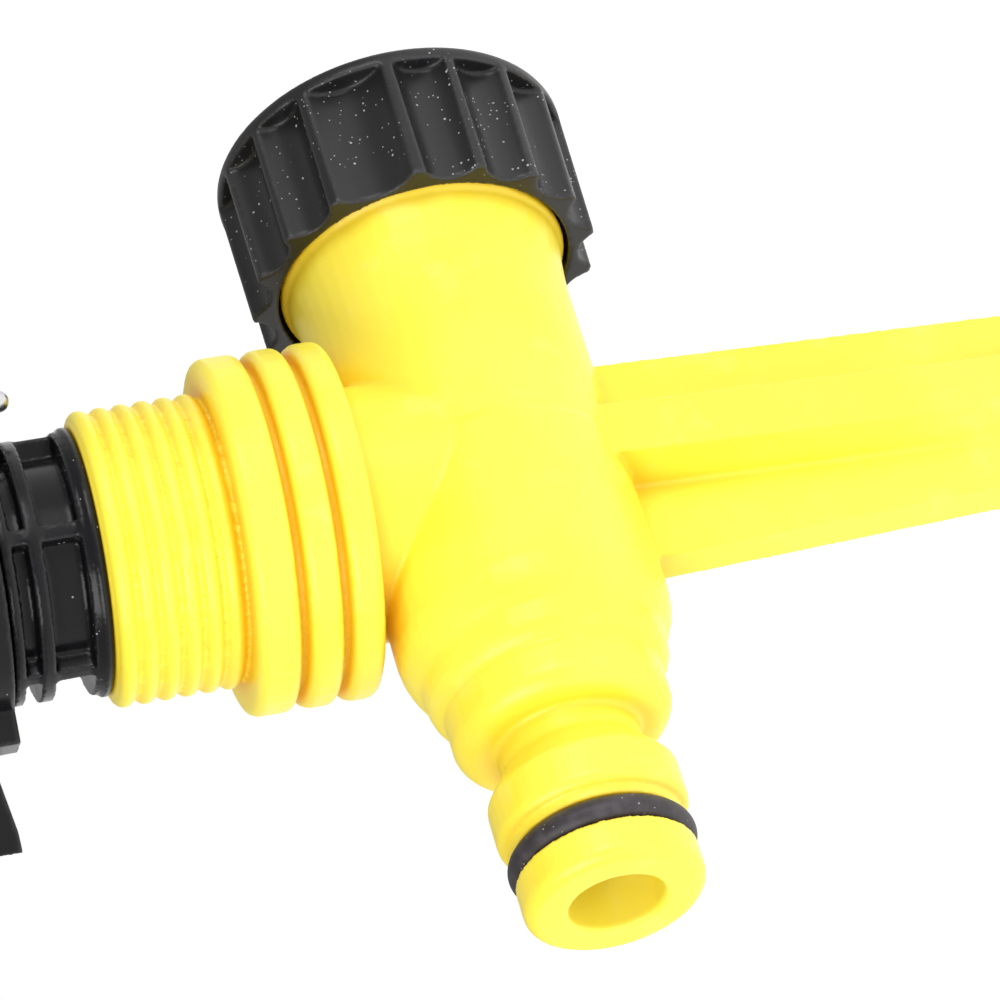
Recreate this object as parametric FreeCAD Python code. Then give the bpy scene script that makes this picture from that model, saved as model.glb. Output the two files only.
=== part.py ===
"""Impact sprinkler on a ground spike: a moulded body with a hose nipple, a screw cap and a turning head."""
import FreeCAD, Part
import math
import os
from FreeCAD import Rotation, Vector

# The frame: origin where the cross tube's axis meets the spike's, +Z up the riser, +X out of the nipple.

# Cross tube, along X
TUBE_R = 11.95
TUBE_SHOULDER_R = 12.15
TUBE_SHOULDER_X = -0.6
TUBE_FLANGE_R = 13.1
TUBE_FLANGE_X = -25.4
TUBE_FLANGE_THICK = 1.0
WATER_BORE_R = 4.15
BORE_LIP = 0.25
CAP_SIDE_BORE_R = 9.0
CAP_SIDE_BORE_END_X = -11.0
SPIGOT_R = 12.6
SPIGOT_END_X = -35.2
SPIGOT_CHAMFER = 0.8

# Hose nipple
NIPPLE_SHOULDER_X = 18.4
COLLAR_END_X = 26.3
COLLAR_WAIST_R = 9.55
COLLAR_R = 9.65
NECK_R = 6.25
NECK_END_X = 28.6
BEAD_R = 8.35
BEAD_START_X = 31.4
BEAD_END_X = 35.5
ORING_X = 37.8
ORING_WIRE_R = 1.2
ORING_OUTER_R = 8.2
ORING_GROOVE_WIDTH = 2.6
TIP_R = 7.9
TIP_X = 42.7
TIP_ROUND = 1.1

# Riser stub, along +Z
STUB_R = 11.3
STUB_RING_R = 15.7
STUB_RING_BOTTOMS_Z = (13.2, 16.8, 20.5)
STUB_RING_GAP = 0.7
STUB_RING_ROUND = 0.8
STUB_RING_TOP_Z = 24.3
STUB_RING_GROOVE_DEPTH = 1.7
THREAD_R = 12.95
THREAD_DEPTH = 0.85
THREAD_PITCH = 1.86
THREAD_TURNS = 6
STUB_MOUTH_Z = 35.9
STUB_MOUTH_ROUND = 0.9
SOCKET_R = 9.0
SOCKET_FLOOR_Z = 18.0
RISER_BORE_R = 7.0

# Ground spike, along -Z
SPIKE_TOP_Z = -8.0
SPIKE_END_Z = -205.0
SPIKE_TOP_HALF_WIDTH = 10.7
SPIKE_END_HALF_WIDTH = 0.9
SPIKE_SHOULDER_Z = -155.0
SPIKE_SHOULDER_HALF_WIDTH = 4.4
BLADE_HALF_THICK = 2.0
BLADE_END_HALF_THICK = 0.6
RIB_HALF_WIDTH = 2.6
RIB_HEIGHT = 7.5
RIB_LOW_Z = -46.0
RIB_LOW_HALF_WIDTH = 4.4
RIB_LOW_HEIGHT = 4.9

# Screw cap on the cross tube's far end
CAP_R = 16.1
CAP_MOUTH_X = -24.15
CAP_END_X = -38.2
CAP_RIM_LENGTH = 1.5
CAP_FLUTE_DEPTH = 1.5
CAP_FLUTES = 16
CAP_WIDE_FLUTE_DEG = 30.0
CAP_FIRST_RIDGE_DEG = 35.0
CAP_CLEARANCE = 0.3
CAP_WASHER_THICK = 1.6
CAP_EDGE = 0.7

# Bearing sleeve and the two sector collars
RUNNING_CLEARANCE = 0.05
FIT_CLEARANCE = 0.02
SLEEVE_SPIGOT_END_Z = 23.3
SLEEVE_FLANGE_R = 11.75
SLEEVE_FLANGE_THICK = 1.6
SLEEVE_CORE_R = 9.3
SLEEVE_RIB_R = 11.3
SLEEVE_RIB_Z = 40.9
SLEEVE_RIB_THICK = 1.2
SLEEVE_LONG_RIBS = 5
SLEEVE_LONG_RIB_THICK = 1.4
SLEEVE_LONG_RIB_DEG = -1.0
COLLAR_SEAT_Z = 44.7
COLLAR_SEAT_R = 10.0
SECTOR_RING_R = 12.4
SECTOR_RING_HEIGHT = 4.6
SECTOR_RING_GAP = 0.3
LOWER_TAB_DEG = -21.4
LOWER_TAB_R = 15.1
UPPER_TAB_DEG = -57.4
UPPER_TAB_R = 25.4
UPPER_TAB_INNER_R = 16.4
TAB_HALF_WIDTH = 2.1
SLEEVE_TOP_Z = 58.0
SLEEVE_TOP_R = 9.7
SLEEVE_GROOVE_LOW_Z = 30.0
SLEEVE_GROOVE_HIGH_Z = 32.0
SLEEVE_GROOVE_DEPTH = 1.4
SLEEVE_ORING_WIRE_R = 0.66
SLEEVE_ORING_CENTRE_R = SOCKET_R - 0.7
THRUST_WASHER_THICK = 0.8
SEAL_WASHER_THICK = 1.0

# Turning head
INLET_R = 6.4
INLET_BORE_R = 4.5
INLET_END_Z = 19.6
SNAP_RING_R = 8.4
SNAP_RING_THICK = 1.6
HUB_R = 10.0
HUB_BOTTOM_Z = 66.0
BARREL_START_Z = 80.0
BARREL_TILT_DEG = 23.0
BARREL_R = 7.2
BARREL_BORE_R = 4.8
BARREL_REAR = -12.0
BARREL_FRONT = 42.0
BOSS_R = 4.5
BOSS_TOP_Z = 97.0
POST_HALF_WIDTH = 2.6
POST_INNER_X = 14.0
REAR_POST_INNER_X = -10.0
POST_THICK = 6.0
POST_GAP = 0.5
BEAM_BOTTOM_Z = 114.0
BEAM_TOP_Z = 120.0
BEAM_EYE_R = 6.0
BRIDGE_ROUND = 4.0
GUARD_R = 11.8
GUARD_BOTTOM_Z = 54.8
GUARD_TOP_Z = 67.6

# Nozzle, plug, straightener, flap and diffuser screw, all placed along the barrel's own axis
NOZZLE_SOCKET_R = 5.6
NOZZLE_SOCKET_DEPTH = 8.0
NOZZLE_FLANGE_R = 6.8
NOZZLE_FLANGE_THICK = 1.5
NOZZLE_ORIFICE_R = 2.2
PLUG_SOCKET_R = 5.3
PLUG_LENGTH = 5.0
PLUG_HEAD_R = 6.4
PLUG_HEAD_THICK = 1.6
VANE_START = 15.0
VANE_LENGTH = 12.0
VANE_THICK = 0.8
FLAP_PIVOT = 42.0
FLAP_OFFSET = 10.6
FLAP_PIN_R = 1.0
FLAP_HINGE_R = 1.9
FLAP_HINGE_HALF_WIDTH = 3.6
FLAP_LENGTH = 13.0
FLAP_HALF_WIDTH = 6.2
FLAP_THICK = 1.6
EAR_GAP = 0.25
EAR_THICK = 2.0
EAR_LENGTH = 5.0
EAR_NOSE_R = 2.2
LUG_START = 40.5
LUG_END = 48.0
LUG_INNER = 7.4
LUG_OUTER = 12.2
SCREW_PLACE = 45.2
SCREW_R = 1.5
SCREW_TIP = 5.6
SCREW_HEAD = 21.0
SCREW_KNOB_R = 3.4
SCREW_KNOB_LENGTH = 4.2
SCREW_KNOB_GRIPS = 8
SCREW_KNOB_GRIP_R = 0.8

# Hammer arm
PIN_R = 1.6
ARM_BOTTOM_Z = 98.0
ARM_TOP_Z = 107.5
ARM_HUB_R = 5.6
ARM_BUSH_R = 3.0
ARM_BAR_HALF_WIDTH = 1.9
ARM_SIDE_Y = 11.0
ARM_STOP_GAP = 0.3
ARM_FRONT_X = 57.0
SPOON_R = 9.0
SPOON_THICK = 2.0
SPOON_BOTTOM_Z = 89.0
WEIGHT_X = -34.0
WEIGHT_Y = -8.0
WEIGHT_R = 6.5
WEIGHT_BORE_R = 3.6
SPRING_R = 4.3
SPRING_WIRE_R = 0.5
SPRING_TURNS = 4
SPRING_CAP_R = 7.0
SPRING_CAP_HEIGHT = 6.0
SPRING_CAP_GRIPS = 12
SPRING_CAP_GRIP_R = 1.0

# Bearing spring under the head
BEARING_SPRING_R = 8.1
BEARING_SPRING_WIRE_R = 0.7
BEARING_SPRING_TURNS = 3
SPRING_GAP = 0.1

# Trip lever, its pin, and the trip wire on its cross pin
TRIP_DEG = 140.6
TRIP_R = 14.8
TRIP_PIN_Z = 70.6
TRIP_PIN_R = 1.2
TRIP_PIN_HEAD_R = 2.3
TRIP_BRACKET_HALF_WIDTH = 2.8
TRIP_LEVER_THICK = 3.6
TRIP_LEVER_R = 3.9
TRIP_FORK_GAP = 3.2
TRIP_FORK_HALF_WIDTH = 3.4
TRIP_FOOT_R = 2.4
TRIP_FINGER_HALF_WIDTH = 1.6
WIRE_PIN_R = 0.6
TRIP_WIRE_R = 0.95
TRIP_WIRE_END_Z = 40.5
TRIP_WIRE_HINGE_Z = 61.5
TRIP_EYE_R = 1.8
TRIP_FINGER_TOP_Z = 79.0

COIL_POINTS_PER_TURN = 12

X_AXIS = Vector(1, 0, 0)
Y_AXIS = Vector(0, 1, 0)
Z_AXIS = Vector(0, 0, 1)


def cylinder(radius, start, end):
    """A cylinder between two points."""
    line = end - start
    return Part.makeCylinder(radius, line.Length, start, line)


def rod_z(radius, bottom, top, x=0.0, y=0.0):
    """A cylinder along Z."""
    return Part.makeCylinder(radius, top - bottom, Vector(x, y, bottom), Z_AXIS)


def rod_x(radius, start, end):
    """A cylinder along X on the cross tube's axis."""
    return Part.makeCylinder(radius, end - start, Vector(start, 0, 0), X_AXIS)


def block(low, high):
    """A box between two corners."""
    return Part.makeBox(high[0] - low[0], high[1] - low[1], high[2] - low[2], Vector(*low))


def pipe_z(outer, inner, bottom, top):
    """A round tube along Z."""
    return rod_z(outer, bottom, top).cut(rod_z(inner, bottom - 1, top + 1))


def outline(points):
    """A closed face from points, where a group of three is an arc's start, middle and end."""
    edges = []
    last = None
    first = None
    for entry in points:
        spots = [Vector(*p) for p in entry] if isinstance(entry[0], tuple) else [Vector(*entry)]
        if last is not None and (spots[0] - last).Length > 1e-6:
            edges.append(Part.LineSegment(last, spots[0]).toShape())
        if len(spots) == 3:
            edges.append(Part.Arc(*spots).toShape())
        first = first or spots[0]
        last = spots[-1]
    edges.append(Part.LineSegment(last, first).toShape())
    return Part.Face(Part.Wire(edges))


def placed(points, place):
    """The points of an outline put into space, with its arcs kept as groups of three."""
    return [tuple(place(p) for p in e) if isinstance(e[0], tuple) else place(e) for e in points]


def turned_x(points):
    """A solid turned about X from points of (x, radius)."""
    spots = placed(points, lambda p: (p[0], p[1], 0))
    return outline(spots).revolve(Vector(0, 0, 0), X_AXIS, 360)


def turned_z(points):
    """A solid turned about Z from points of (radius, z)."""
    spots = placed(points, lambda p: (p[0], 0, p[1]))
    return outline(spots).revolve(Vector(0, 0, 0), Z_AXIS, 360)


def ring_x(centre_r, wire_r, x):
    """A round ring about X."""
    return Part.makeTorus(centre_r, wire_r, Vector(x, 0, 0), X_AXIS)


def radial(angle, distance, z, side=0.0):
    """A point at an angle about Z, moved sideways along the turning direction."""
    a = math.radians(angle)
    x = distance * math.cos(a) - side * math.sin(a)
    y = distance * math.sin(a) + side * math.cos(a)
    return Vector(x, y, z)


def radial_block(angle, inner, outer, half_width, bottom, top, side=0.0):
    """A box that points away from the Z axis at an angle."""
    shape = block((inner, side - half_width, bottom), (outer, side + half_width, top))
    shape.rotate(Vector(0, 0, 0), Z_AXIS, angle)
    return shape


def along_barrel(place, height=0.0, side=0.0):
    """A point given along, above and beside the barrel's axis."""
    tilt = math.radians(BARREL_TILT_DEG)
    x = place * math.cos(tilt) - height * math.sin(tilt)
    z = BARREL_START_Z + place * math.sin(tilt) + height * math.cos(tilt)
    return Vector(x, side, z)


def on_barrel(shape):
    """Move a shape that was made along X at the origin onto the barrel's axis."""
    shape.rotate(Vector(0, 0, 0), Y_AXIS, -BARREL_TILT_DEG)
    shape.translate(Vector(0, 0, BARREL_START_Z))
    return shape


def coil(radius, wire_r, bottom, top, turns):
    """A round-wire coil spring about Z."""
    height = top - bottom - 2 * wire_r
    count = turns * COIL_POINTS_PER_TURN
    start = bottom + wire_r
    spots = [radial(360.0 * turns * n / count, radius, start + height * n / count) for n in range(count + 1)]
    line = Part.BSplineCurve()
    line.interpolate(spots)
    slope = height / turns / (2 * math.pi * radius)
    section = Part.Wire(Part.makeCircle(wire_r, spots[0], Vector(0, 1, slope)))
    return Part.Wire([line.toShape()]).makePipeShell([section], True, False)


# ---------------------------------------------------------------- moulded body

def nipple_profile():
    """The cross tube from its shoulder to the nipple's rounded tip."""
    groove = ORING_GROOVE_WIDTH / 2
    groove_r = ORING_OUTER_R - 2 * ORING_WIRE_R
    return [
        (TUBE_SHOULDER_X, 0),
        (TUBE_SHOULDER_X, TUBE_R),
        (TUBE_SHOULDER_X + 0.5, TUBE_SHOULDER_R),
        ((NIPPLE_SHOULDER_X - 4.6, TUBE_SHOULDER_R), (NIPPLE_SHOULDER_X - 1.8, TUBE_SHOULDER_R - 0.35),
         (NIPPLE_SHOULDER_X, TUBE_SHOULDER_R - 1.25)),
        (NIPPLE_SHOULDER_X + 0.35, TUBE_SHOULDER_R - 1.35),
        ((NIPPLE_SHOULDER_X + 1.1, TUBE_SHOULDER_R - 1.4), (NIPPLE_SHOULDER_X + 2.5, COLLAR_WAIST_R + 0.75),
         (NIPPLE_SHOULDER_X + 3.3, COLLAR_WAIST_R)),
        (NIPPLE_SHOULDER_X + 3.8, COLLAR_R),
        ((COLLAR_END_X - 2.1, COLLAR_R), (COLLAR_END_X - 0.6, COLLAR_R - 0.6),
         (COLLAR_END_X, COLLAR_R - 2.0)),
        (COLLAR_END_X, NECK_R + 0.35),
        (COLLAR_END_X + 0.35, NECK_R),
        (NECK_END_X, NECK_R),
        ((BEAD_START_X - 0.6, BEAD_R - 0.45), (BEAD_START_X - 0.15, BEAD_R - 0.12), (BEAD_START_X, BEAD_R)),
        ((BEAD_END_X - 0.9, BEAD_R), (BEAD_END_X - 0.3, BEAD_R - 0.25), (BEAD_END_X, BEAD_R - 0.9)),
        (ORING_X - groove, BEAD_R - 0.95),
        (ORING_X - groove, groove_r),
        (ORING_X + groove, groove_r),
        (ORING_X + groove, TIP_R),
        ((TIP_X - TIP_ROUND, TIP_R), (TIP_X - 0.3 * TIP_ROUND, TIP_R - 0.3 * TIP_ROUND),
         (TIP_X, TIP_R - TIP_ROUND)),
        (TIP_X, 0),
    ]


def cross_tube():
    """The solid tube along X, with its flange and the spigot that the cap screws onto."""
    flange_end = TUBE_FLANGE_X + TUBE_FLANGE_THICK
    tube = turned_x([
        (SPIGOT_END_X, 0),
        (SPIGOT_END_X, SPIGOT_R - SPIGOT_CHAMFER),
        (SPIGOT_END_X + SPIGOT_CHAMFER, SPIGOT_R),
        (TUBE_FLANGE_X, SPIGOT_R),
        (TUBE_FLANGE_X, TUBE_FLANGE_R),
        (flange_end - 0.3, TUBE_FLANGE_R),
        (flange_end, TUBE_FLANGE_R - 0.35),
        ((flange_end + 0.1, TUBE_R + 0.65), (flange_end + 3.2, TUBE_R + 0.2), (flange_end + 7.0, TUBE_R)),
        (TUBE_SHOULDER_X, TUBE_R),
        (TUBE_SHOULDER_X, 0),
    ])
    return tube.fuse(turned_x(nipple_profile()))


def riser_profile():
    """The stub's outside: neck, three round-edged rings, then the fine thread's ridges."""
    points = [(0, 0), (STUB_R, 0)]
    root = STUB_RING_R - STUB_RING_GROOVE_DEPTH
    ring_tops = [z - STUB_RING_GAP for z in STUB_RING_BOTTOMS_Z[1:]] + [STUB_RING_TOP_Z]
    for number, (low, high) in enumerate(zip(STUB_RING_BOTTOMS_Z, ring_tops)):
        start_r = STUB_R if number == 0 else root
        end_r = THREAD_R - THREAD_DEPTH if high == STUB_RING_TOP_Z else root
        points.append((start_r, low))
        bend = 0.3 * STUB_RING_ROUND
        points.append(((STUB_RING_R - STUB_RING_ROUND, low), (STUB_RING_R - bend, low + bend),
                       (STUB_RING_R, low + STUB_RING_ROUND)))
        points.append(((STUB_RING_R, high - STUB_RING_ROUND), (STUB_RING_R - bend, high - bend),
                       (STUB_RING_R - STUB_RING_ROUND, high)))
        points.append((end_r, high))
    thread_start = STUB_RING_TOP_Z + 0.3
    for turn in range(THREAD_TURNS):
        low = thread_start + turn * THREAD_PITCH
        middle = low + THREAD_PITCH / 2
        root_r = THREAD_R - THREAD_DEPTH
        points.append(((root_r, low + 0.1), (THREAD_R, middle), (root_r, low + THREAD_PITCH - 0.1)))
    points.append((THREAD_R - THREAD_DEPTH, STUB_MOUTH_Z - STUB_MOUTH_ROUND / 4))
    points.append((THREAD_R - THREAD_DEPTH - STUB_MOUTH_ROUND / 4, STUB_MOUTH_Z))
    points.append((0, STUB_MOUTH_Z))
    return points


def spike_section(z, half_width, half_thick, rib_base, rib_top, rib_height):
    """One closed section of the blade with a rib on each face."""
    quarter = [(half_width, half_thick), (rib_base, half_thick), (rib_top, rib_height)]
    side = quarter + [(-x, y) for x, y in reversed(quarter)]
    loop = side + [(-x, -y) for x, y in side]
    spots = [Vector(x, y, z) for x, y in loop]
    return Part.makePolygon(spots + spots[:1])


def spike():
    """The tapering blade that goes into the ground."""
    share = (SPIKE_TOP_Z - RIB_LOW_Z) / (SPIKE_TOP_Z - SPIKE_SHOULDER_Z)
    low_width = SPIKE_TOP_HALF_WIDTH + share * (SPIKE_SHOULDER_HALF_WIDTH - SPIKE_TOP_HALF_WIDTH)
    slim_base = SPIKE_SHOULDER_HALF_WIDTH * 0.55
    sections = [
        spike_section(SPIKE_TOP_Z, SPIKE_TOP_HALF_WIDTH, BLADE_HALF_THICK,
                      RIB_HALF_WIDTH + 0.2, RIB_HALF_WIDTH, RIB_HEIGHT),
        spike_section(RIB_LOW_Z, low_width, BLADE_HALF_THICK,
                      RIB_LOW_HALF_WIDTH, RIB_HALF_WIDTH, RIB_LOW_HEIGHT),
        spike_section(SPIKE_SHOULDER_Z, SPIKE_SHOULDER_HALF_WIDTH, BLADE_HALF_THICK * 0.8,
                      slim_base, slim_base * 0.6, RIB_LOW_HEIGHT * 0.6),
        spike_section(SPIKE_END_Z, SPIKE_END_HALF_WIDTH, BLADE_END_HALF_THICK,
                      SPIKE_END_HALF_WIDTH * 0.6, SPIKE_END_HALF_WIDTH * 0.4, BLADE_END_HALF_THICK * 1.5),
    ]
    return Part.makeLoft(sections, True, True)


def water_ways():
    """Everything that is hollow in the body."""
    nipple_bore = rod_x(WATER_BORE_R, 0, TIP_X + 1)
    lip_start = Vector(TIP_X - BORE_LIP, 0, 0)
    bore_lip = Part.makeCone(WATER_BORE_R, WATER_BORE_R + BORE_LIP, BORE_LIP, lip_start, X_AXIS)
    link = rod_x(WATER_BORE_R, CAP_SIDE_BORE_END_X, 0)
    cap_bore = rod_x(CAP_SIDE_BORE_R, SPIGOT_END_X - 1, CAP_SIDE_BORE_END_X)
    riser = rod_z(RISER_BORE_R, 0, SOCKET_FLOOR_Z)
    socket = rod_z(SOCKET_R + FIT_CLEARANCE, SOCKET_FLOOR_Z, STUB_MOUTH_Z + 1)
    return [nipple_bore, bore_lip, link, cap_bore, riser, socket]


def spike_body():
    """The yellow moulding: cross tube, riser stub and ground spike in one piece."""
    body = cross_tube()
    body = body.fuse(turned_z(riser_profile()))
    body = body.fuse(spike())
    for way in water_ways():
        body = body.cut(way)
    return body.removeSplitter()


def inlet_oring():
    """The rubber ring that seals a hose connector."""
    return ring_x(ORING_OUTER_R - ORING_WIRE_R, ORING_WIRE_R - 0.01, ORING_X)


# ------------------------------------------------------------------ screw cap

def flute_angles():
    """The middle of each flute and half its width, in degrees about the cap's axis."""
    step = (360.0 - CAP_WIDE_FLUTE_DEG) / CAP_FLUTES
    middles = [(CAP_FIRST_RIDGE_DEG + (n + 0.5) * step, step / 2) for n in range(CAP_FLUTES)]
    middles.append((CAP_FIRST_RIDGE_DEG - CAP_WIDE_FLUTE_DEG / 2, CAP_WIDE_FLUTE_DEG / 2))
    return middles


def flute_cutter(half_angle):
    """A rounded groove with a square shoulder at its closed end, that leaves a narrow ridge each side."""
    half_chord = CAP_R * math.sin(math.radians(half_angle)) * 0.86
    radius = (half_chord ** 2 + CAP_FLUTE_DEPTH ** 2) / (2 * CAP_FLUTE_DEPTH)
    drop = CAP_R * math.cos(math.radians(half_angle)) + radius - CAP_FLUTE_DEPTH
    start = CAP_END_X + CAP_RIM_LENGTH
    return Part.makeCylinder(radius, CAP_MOUTH_X - start + 1, Vector(start, drop, 0), X_AXIS)


def end_cap():
    """The fluted black cap."""
    edge = CAP_EDGE
    cap = turned_x([
        (CAP_END_X, 0),
        (CAP_END_X, CAP_R - edge),
        ((CAP_END_X, CAP_R - edge), (CAP_END_X + 0.3 * edge, CAP_R - 0.3 * edge), (CAP_END_X + edge, CAP_R)),
        (CAP_MOUTH_X, CAP_R - 0.25),
        (CAP_MOUTH_X, 0),
    ])
    for middle, half_angle in flute_angles():
        cutter = flute_cutter(half_angle)
        cutter.rotate(Vector(0, 0, 0), X_AXIS, middle)
        cap = cap.cut(cutter)
    bore_end = SPIGOT_END_X - CAP_WASHER_THICK
    cap = cap.cut(rod_x(SPIGOT_R + CAP_CLEARANCE, bore_end, CAP_MOUTH_X + 1))
    mouth = TUBE_FLANGE_X - CAP_CLEARANCE
    return cap.cut(rod_x(TUBE_FLANGE_R + CAP_CLEARANCE, mouth, CAP_MOUTH_X + 1))


def cap_washer():
    """The flat seal in the cap, which closes the spigot's end."""
    bottom = SPIGOT_END_X - CAP_WASHER_THICK + FIT_CLEARANCE
    return rod_x(SPIGOT_R - 0.2, bottom, SPIGOT_END_X - FIT_CLEARANCE)


# ------------------------------------------------------- bearing and collars

def sleeve_long_ribs(bottom, top):
    """The ribs along the sleeve, between its rings."""
    ribs = []
    for number in range(SLEEVE_LONG_RIBS):
        angle = SLEEVE_LONG_RIB_DEG + number * 360.0 / SLEEVE_LONG_RIBS
        half = SLEEVE_LONG_RIB_THICK / 2
        ribs.append(radial_block(angle, SLEEVE_CORE_R - 0.5, SLEEVE_RIB_R - 0.15, half, bottom, top))
    return ribs


def bearing_sleeve():
    """The black sleeve that is screwed into the stub and carries the head."""
    flange_top = STUB_MOUTH_Z + SLEEVE_FLANGE_THICK
    rib_zone_top = COLLAR_SEAT_Z - SECTOR_RING_GAP
    solid = rod_z(SOCKET_R, SLEEVE_SPIGOT_END_Z, STUB_MOUTH_Z + 0.1)
    flange = turned_z([
        (0, STUB_MOUTH_Z), (SLEEVE_FLANGE_R - 0.3, STUB_MOUTH_Z), (SLEEVE_FLANGE_R, STUB_MOUTH_Z + 0.3),
        (SLEEVE_FLANGE_R, flange_top - 0.8), (SLEEVE_FLANGE_R - 0.25, flange_top - 0.7),
        (SLEEVE_FLANGE_R - 0.35, flange_top), (0, flange_top),
    ])
    parts = [flange, rod_z(SLEEVE_CORE_R, flange_top, rib_zone_top)]
    parts.append(rod_z(SLEEVE_RIB_R, SLEEVE_RIB_Z, SLEEVE_RIB_Z + SLEEVE_RIB_THICK))
    parts.append(rod_z(SLEEVE_RIB_R, rib_zone_top - 0.9, rib_zone_top))
    parts.extend(sleeve_long_ribs(flange_top, rib_zone_top))
    seat_top = COLLAR_SEAT_Z + 2 * SECTOR_RING_HEIGHT + 2 * SECTOR_RING_GAP
    parts.append(rod_z(COLLAR_SEAT_R, rib_zone_top, seat_top))
    parts.append(rod_z(SLEEVE_TOP_R, seat_top, SLEEVE_TOP_Z))
    for part in parts:
        solid = solid.fuse(part)
    bore = rod_z(INLET_R + RUNNING_CLEARANCE, SLEEVE_SPIGOT_END_Z - 1, SLEEVE_TOP_Z + 1)
    groove = pipe_z(SOCKET_R + 1, SOCKET_R - SLEEVE_GROOVE_DEPTH, SLEEVE_GROOVE_LOW_Z, SLEEVE_GROOVE_HIGH_Z)
    return solid.cut(bore).cut(groove).removeSplitter()


def sleeve_oring():
    """The seal between the sleeve and the stub's socket."""
    middle = (SLEEVE_GROOVE_LOW_Z + SLEEVE_GROOVE_HIGH_Z) / 2
    return Part.makeTorus(SLEEVE_ORING_CENTRE_R, SLEEVE_ORING_WIRE_R, Vector(0, 0, middle), Z_AXIS)


def sector_ring(bottom):
    """A plain collar ring that turns on the sleeve's seat."""
    return pipe_z(SECTOR_RING_R, COLLAR_SEAT_R + RUNNING_CLEARANCE, bottom, bottom + SECTOR_RING_HEIGHT)


def sector_collar_lower():
    """The lower stop collar with its short square tab."""
    ring = sector_ring(COLLAR_SEAT_Z)
    tab = radial_block(LOWER_TAB_DEG, SECTOR_RING_R - 1.5, LOWER_TAB_R, TAB_HALF_WIDTH,
                       COLLAR_SEAT_Z, COLLAR_SEAT_Z + SECTOR_RING_HEIGHT)
    return ring.fuse(tab).removeSplitter()


def sector_collar_upper():
    """The upper stop collar with its long finger tab, which reaches down past the lower one."""
    bottom = COLLAR_SEAT_Z + SECTOR_RING_HEIGHT + SECTOR_RING_GAP
    top = bottom + SECTOR_RING_HEIGHT
    drop = COLLAR_SEAT_Z + 1.2
    root = SECTOR_RING_R - 1.5
    spots = [(root, bottom + 0.6), (UPPER_TAB_INNER_R, bottom + 0.6), (UPPER_TAB_INNER_R, drop + 0.4),
             (UPPER_TAB_R - 2.0, drop - 1.1), (UPPER_TAB_R, drop - 1.3), (UPPER_TAB_R, drop + 1.2),
             (UPPER_TAB_INNER_R + 3.2, drop + 3.6), (UPPER_TAB_INNER_R + 1.6, top), (root, top)]
    face = outline([(r, -TAB_HALF_WIDTH, z) for r, z in spots])
    tab = face.extrude(Vector(0, 2 * TAB_HALF_WIDTH, 0))
    tab.rotate(Vector(0, 0, 0), Z_AXIS, UPPER_TAB_DEG)
    return sector_ring(bottom).fuse(tab).removeSplitter()


def thrust_washer():
    """The slippery washer between the sleeve's end and the snap ring."""
    top = SLEEVE_SPIGOT_END_Z - FIT_CLEARANCE
    return pipe_z(SNAP_RING_R - 0.2, INLET_R + RUNNING_CLEARANCE, top - THRUST_WASHER_THICK, top)


def seal_washer():
    """The rubber washer under the thrust washer."""
    top = SLEEVE_SPIGOT_END_Z - THRUST_WASHER_THICK - 2 * FIT_CLEARANCE
    return pipe_z(SNAP_RING_R - 0.2, INLET_R + RUNNING_CLEARANCE, top - SEAL_WASHER_THICK, top)


def snap_ring():
    """The ring on the inlet tube's end that keeps the head in the sleeve."""
    top = SLEEVE_SPIGOT_END_Z - THRUST_WASHER_THICK - SEAL_WASHER_THICK - 3 * FIT_CLEARANCE
    return pipe_z(SNAP_RING_R, INLET_R + 0.01, top - SNAP_RING_THICK, top)


def bearing_spring():
    """The spring that presses the head up against its washers."""
    low = SLEEVE_TOP_Z + SPRING_GAP
    return coil(BEARING_SPRING_R, BEARING_SPRING_WIRE_R, low, HUB_BOTTOM_Z - SPRING_GAP, BEARING_SPRING_TURNS)


def sand_guard():
    """The skirt on the hub that keeps grit out of the bearing."""
    skirt = pipe_z(GUARD_R, GUARD_R - 1.4, GUARD_BOTTOM_Z, GUARD_TOP_Z)
    lip = pipe_z(GUARD_R, HUB_R + FIT_CLEARANCE, GUARD_TOP_Z - 1.6, GUARD_TOP_Z)
    return skirt.fuse(lip).removeSplitter()


# ------------------------------------------------------------------ the head

def bridge():
    """The loop over the arm: two posts and a beam with an eye for the pin."""
    front_x = POST_INNER_X + POST_THICK
    rear_x = REAR_POST_INNER_X - POST_THICK
    rear_bottom = along_barrel(BARREL_REAR - PLUG_HEAD_THICK, PLUG_HEAD_R).z + POST_GAP
    near, far = -POST_HALF_WIDTH, POST_HALF_WIDTH
    front = block((POST_INNER_X, near, along_barrel(POST_INNER_X).z), (front_x, far, BEAM_TOP_Z))
    rear = block((rear_x, near, rear_bottom), (REAR_POST_INNER_X, far, BEAM_TOP_Z))
    beam = block((rear_x, near, BEAM_BOTTOM_Z), (front_x, far, BEAM_TOP_Z))
    loop = front.fuse(rear).fuse(beam).removeSplitter()
    outer_edges = [e for e in loop.Edges if is_outer_corner(e, rear_x, front_x)]
    return loop.makeFillet(BRIDGE_ROUND, outer_edges).fuse(rod_z(BEAM_EYE_R, BEAM_BOTTOM_Z, BEAM_TOP_Z))


def is_outer_corner(edge, rear_x, front_x):
    """Whether an edge is one of the bridge's two upper outer corners."""
    middle = edge.CenterOfMass
    across = abs(edge.Vertexes[0].Y - edge.Vertexes[-1].Y) > POST_HALF_WIDTH
    at_end = min(abs(middle.x - rear_x), abs(middle.x - front_x)) < 0.01
    return across and at_end and abs(middle.z - BEAM_TOP_Z) < 0.01


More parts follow.
